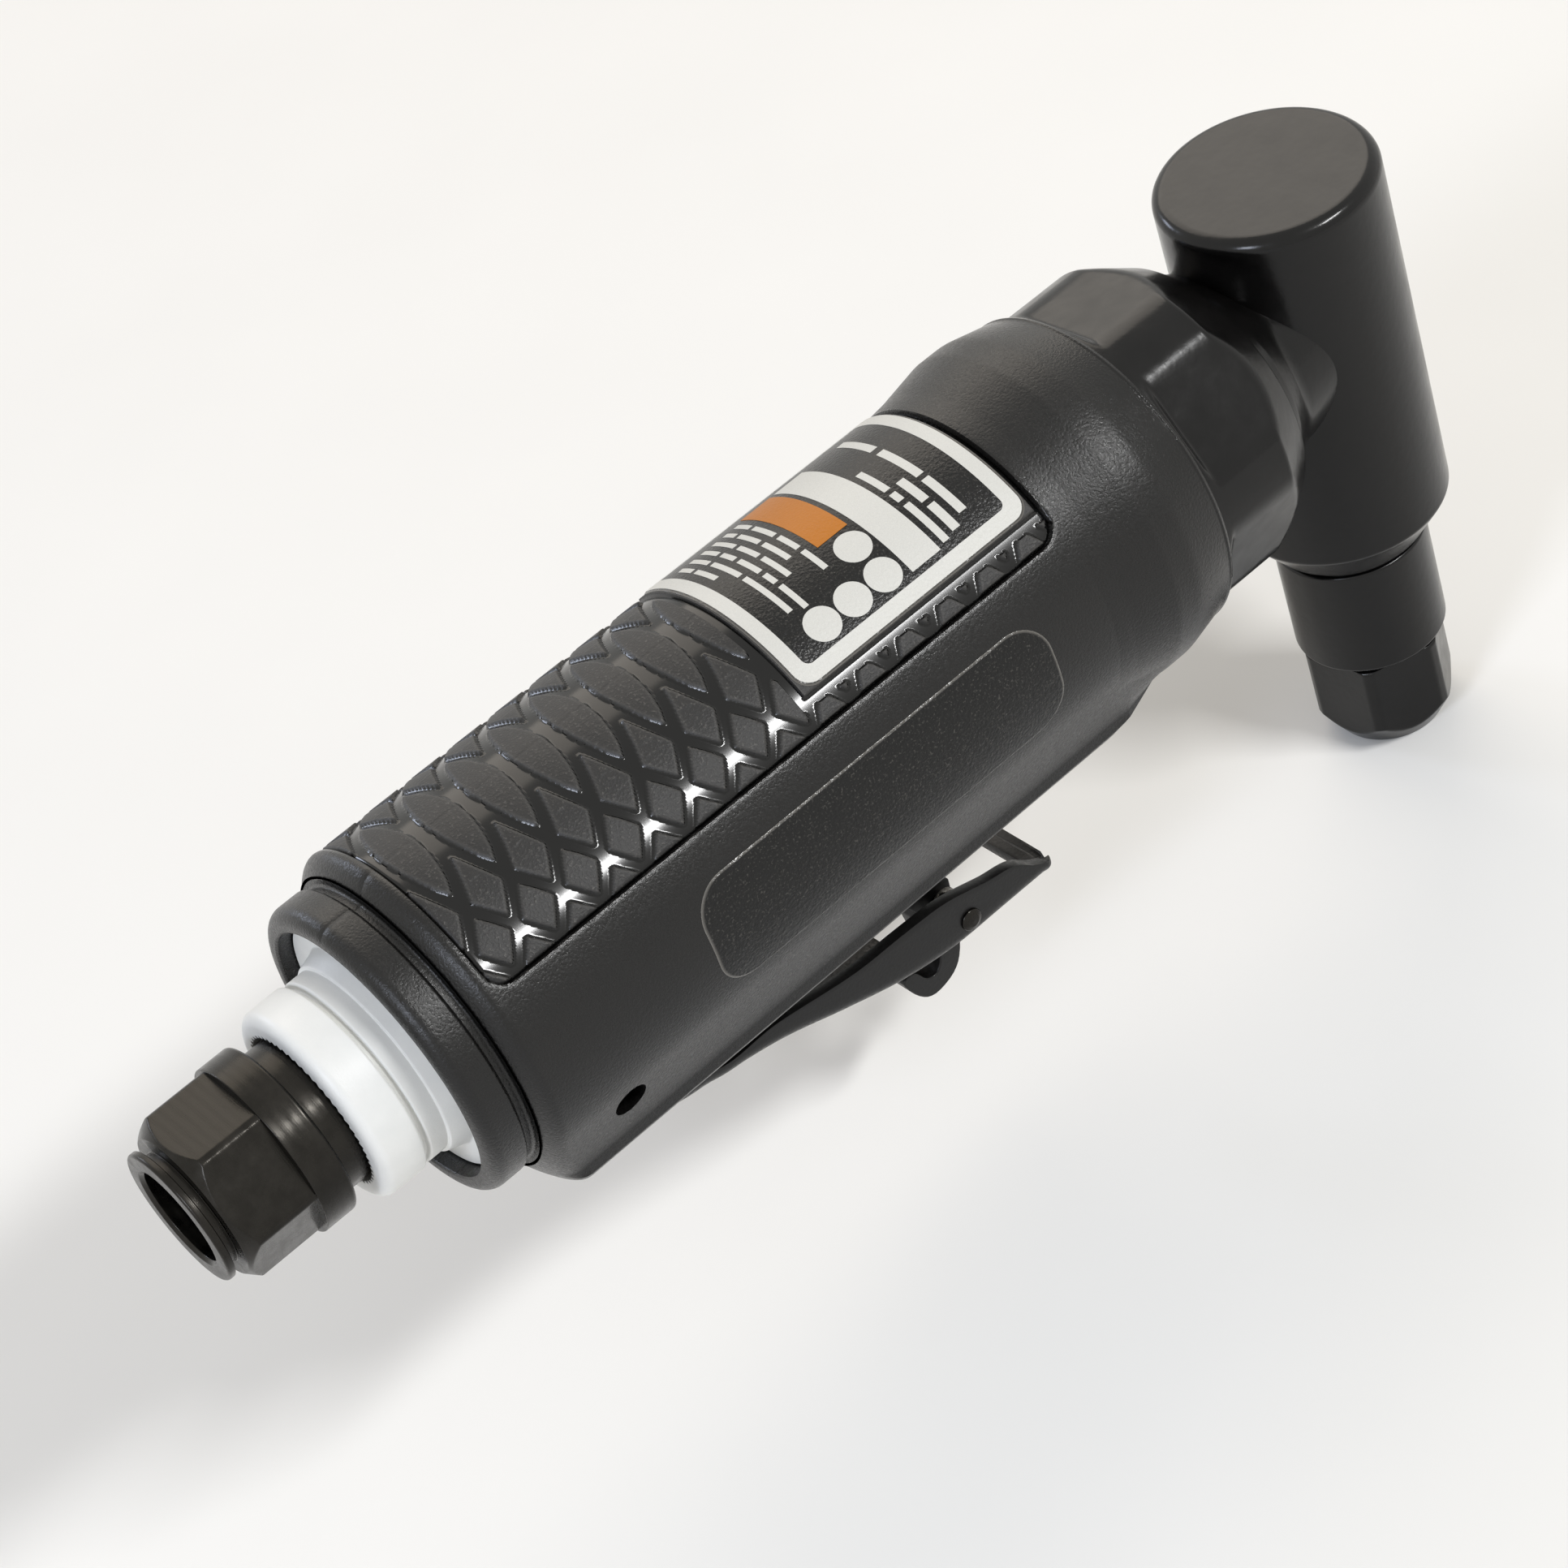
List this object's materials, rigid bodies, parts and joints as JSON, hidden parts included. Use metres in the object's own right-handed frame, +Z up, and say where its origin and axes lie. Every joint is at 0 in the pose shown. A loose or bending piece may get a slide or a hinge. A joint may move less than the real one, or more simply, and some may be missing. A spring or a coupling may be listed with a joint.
{
  "type": "right angle die grinder",
  "caption": "Compressed air die grinder with a squeeze lever, a lever lock, and a head that turns the spindle square to the handle.",
  "frame": {"origin": "centre of the collet's mouth, on the end face of the collet nut", "axes": "+Z up the spindle, +X along the handle from the air inlet to the head, handle axis 62.5 mm above the origin"},
  "size_m": [0.1783, 0.0436, 0.0843],
  "materials": {
    "housing_black": "satin black composite with a fine grain",
    "lever_black": "semi-gloss black paint on pressed steel",
    "blackened_steel": "black oxide, satin, with turning marks",
    "black_gloss": "gloss black plating on steel",
    "white_plastic": "moulded white, half matt",
    "felt": "pressed felt",
    "grip_rubber": "charcoal rubber",
    "label_film": "printed film under a clear grained coat",
    "plate_film": "black film under a clear grained coat",
    "brass": "machined",
    "seal_rubber": "smooth",
    "iron": "ground",
    "aluminium": "machined",
    "collet_steel": "hardened, dark satin",
    "blade_laminate": "brown resin laminate",
    "bearing_steel": "ground",
    "bright_steel": "machined"
  },
  "bodies": {
    "handle": {"angle_head": "black_gloss", "bearing_cap": "black_gloss", "bearing_retainer": "bearing_steel", "clamp_nut": "black_gloss", "exhaust_deflector": "white_plastic", "exhaust_silencer": "felt", "front_end_plate": "iron", "front_motor_bearing_outer": "bearing_steel", "front_pinion_bearing_outer": "bearing_steel", "grip_sleeve": "grip_rubber", "handle_housing": "housing_black", "inlet_bushing": "blackened_steel", "inlet_screen": "brass", "lever_pin": "bright_steel", "lower_spindle_bearing_outer": "bearing_steel", "middle_spindle_bearing_outer": "bearing_steel", "motor_cylinder": "iron", "motor_sleeve": "bright_steel", "motor_spacer": "aluminium", "rating_label": "label_film", "rear_end_plate": "iron", "rear_motor_bearing_outer": "bearing_steel", "rear_pinion_bearing_outer": "bearing_steel", "side_plate": "plate_film", "spindle_seal": "seal_rubber", "stem_seal": "seal_rubber", "upper_spindle_bearing_outer": "bearing_steel", "valve_bushing": "brass", "valve_spring": "bright_steel"},
    "lever": {"throttle_lever": "lever_black", "lock_pin": "bright_steel", "lock_spring": "bright_steel"},
    "lock": {"lock_lever": "lever_black"},
    "stem": {"valve_stem": "bright_steel", "valve_washer": "seal_rubber"},
    "motor": {"rotor": "bright_steel", "rotor_blade_1": "blade_laminate", "rotor_blade_2": "blade_laminate", "rotor_blade_3": "blade_laminate", "rotor_blade_4": "blade_laminate", "rotor_blade_5": "blade_laminate", "rear_motor_bearing_inner": "bearing_steel", "front_motor_bearing_inner": "bearing_steel", "bevel_pinion": "bright_steel", "front_pinion_bearing_inner": "bearing_steel", "rear_pinion_bearing_inner": "bearing_steel"},
    "spindle": {"spindle": "bright_steel", "bevel_gear": "bright_steel", "upper_spindle_bearing_inner": "bearing_steel", "middle_spindle_bearing_inner": "bearing_steel", "lower_spindle_bearing_inner": "bearing_steel", "collet": "collet_steel", "collet_nut": "black_gloss"}
  },
  "joints": [
    {"name": "lever_hinge", "type": "hinge", "parent": "handle", "child": "lever", "pos_m": [-0.122, 0, 0.0516], "axis": [0, -1, 0], "range_deg": [0, 7], "stiffness_Nm_per_rad": 1, "springref_deg": -11.46},
    {"name": "lock_hinge", "type": "hinge", "parent": "lever", "child": "lock", "pos_m": [-0.0714, 0, 0.0285], "axis": [0, -1, 0], "range_deg": [0, 35], "stiffness_Nm_per_rad": 0.005, "springref_deg": -28.65},
    {"name": "stem_slide", "type": "slide", "parent": "handle", "child": "stem", "axis": [0, 0, 1], "range_m": [0, 0.0016], "deforming": ["valve_spring"]},
    {"name": "motor_spin", "type": "hinge", "parent": "handle", "child": "motor", "pos_m": [-0.0715, 0, 0.0625], "axis": [1, 0, 0], "continuous": true},
    {"name": "spindle_spin", "type": "hinge", "parent": "handle", "child": "spindle", "pos_m": [0, 0, 0.03], "axis": [0, 0, 1], "continuous": true}
  ],
  "couplings": [
    {"joint": "lock_hinge", "follows": "lever_hinge", "ratio": 5},
    {"joint": "stem_slide", "follows": "lever_hinge", "m_per_rad": 0.013},
    {"joint": "spindle_spin", "follows": "motor_spin", "ratio": -1}
  ]
}
